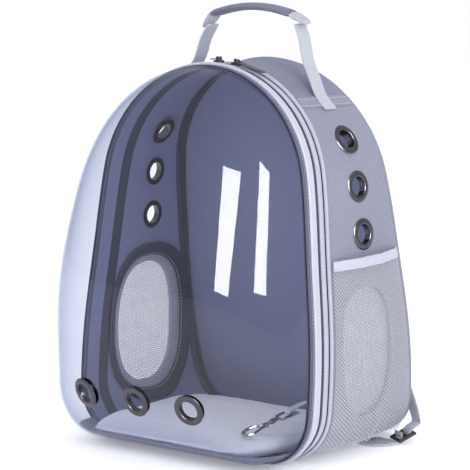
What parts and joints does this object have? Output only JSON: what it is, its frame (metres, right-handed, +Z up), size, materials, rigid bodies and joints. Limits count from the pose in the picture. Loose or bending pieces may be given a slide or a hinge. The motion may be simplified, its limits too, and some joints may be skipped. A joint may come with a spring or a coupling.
{
  "type": "pet carrier backpack",
  "caption": "Backpack pet carrier with a clear domed front window, mesh side windows and net pockets, padded shoulder straps and a top carry handle.",
  "frame": {"origin": "centre of the bounding box's underside, on the floor", "axes": "+Z up; the bubble faces -Y and the shoulder straps +Y; +X is the right-hand side seen from the front"},
  "size_m": [0.3498, 0.3326, 0.486],
  "materials": {
    "black_plastic": "moulded",
    "board_fabric": "covered board",
    "clear_plastic": "clear, thermoformed",
    "dark_zip": "coil zip, dark",
    "grey_fabric": "heathered weave",
    "grey_tape": "zip tape",
    "grey_webbing": "webbing",
    "gunmetal": "gunmetal plated",
    "mauve_tape": "zip tape",
    "navy_binding": "ribbed tape",
    "pale_cuff": "woven, pale",
    "pocket_net": "diamond net",
    "steel": "polished",
    "white_plush": "plush",
    "white_trim": "piping",
    "window_mesh": "fine mesh"
  },
  "bodies": {
    "bag": {"dome": "clear_plastic", "dome_binding": "navy_binding", "front_piping": "white_trim", "front_zip_tape": "mauve_tape", "zip_teeth": "dark_zip", "rear_zip_tape": "grey_tape", "seam_binding": "navy_binding", "rear_piping": "grey_tape", "gusset": "grey_fabric", "dome_eyelet_1": "gunmetal", "dome_eyelet_2": "gunmetal", "dome_eyelet_3": "gunmetal", "left_eyelet_1": "gunmetal", "left_eyelet_2": "gunmetal", "left_eyelet_3": "gunmetal", "right_eyelet_1": "gunmetal", "right_eyelet_2": "gunmetal", "right_eyelet_3": "gunmetal", "back_panel": "grey_fabric", "back_binding": "navy_binding", "window_mesh_left": "window_mesh", "window_ring_left": "navy_binding", "window_mesh_right": "window_mesh", "window_ring_right": "navy_binding", "pocket_net_left": "pocket_net", "pocket_hem_left": "white_trim", "pocket_net_right": "pocket_net", "pocket_hem_right": "white_trim", "floor_board": "board_fabric", "mat": "white_plush", "handle_grip": "grey_webbing", "handle_cuff_left": "pale_cuff", "handle_strap_left": "grey_webbing", "handle_cuff_right": "pale_cuff", "handle_strap_right": "grey_webbing", "zip_slider_left": "gunmetal", "zip_slider_right": "gunmetal", "hook_eye": "steel", "tether": "grey_webbing", "shoulder_strap_left": "grey_fabric", "ladder_lock_left": "black_plastic", "lower_webbing_left": "grey_webbing", "strap_tab_left": "pale_cuff", "shoulder_strap_right": "grey_fabric", "ladder_lock_right": "black_plastic", "lower_webbing_right": "grey_webbing", "strap_tab_right": "pale_cuff"},
    "ring": {"zip_pull_ring": "gunmetal"},
    "tab": {"zip_pull_tab": "dark_zip"},
    "hook": {"hook_body": "steel"},
    "gate": {"hook_gate": "steel"}
  },
  "joints": [
    {"name": "pull_ring_hinge", "type": "hinge", "parent": "bag", "child": "ring", "pos_m": [0.00104, -0.01007, 0.4255], "axis": [0, 1, 0], "range_deg": [0, 160]},
    {"name": "pull_tab_hinge", "type": "hinge", "parent": "bag", "child": "tab", "pos_m": [0.02595, -0.01023, 0.42323], "axis": [0, 1, 0], "range_deg": [-140, 0]},
    {"name": "hook_swivel", "type": "hinge", "parent": "bag", "child": "hook", "pos_m": [0.1006, -0.03665, 0.0447], "axis": [-0.3271, -0.8986, -0.2924], "range_deg": [-12, 12]},
    {"name": "hook_gate_hinge", "type": "hinge", "parent": "hook", "child": "gate", "pos_m": [0.09833, -0.05011, 0.0406], "axis": [-0.1, -0.2747, 0.9563], "range_deg": [-26, 0], "stiffness_Nm_per_rad": 0.005}
  ]
}
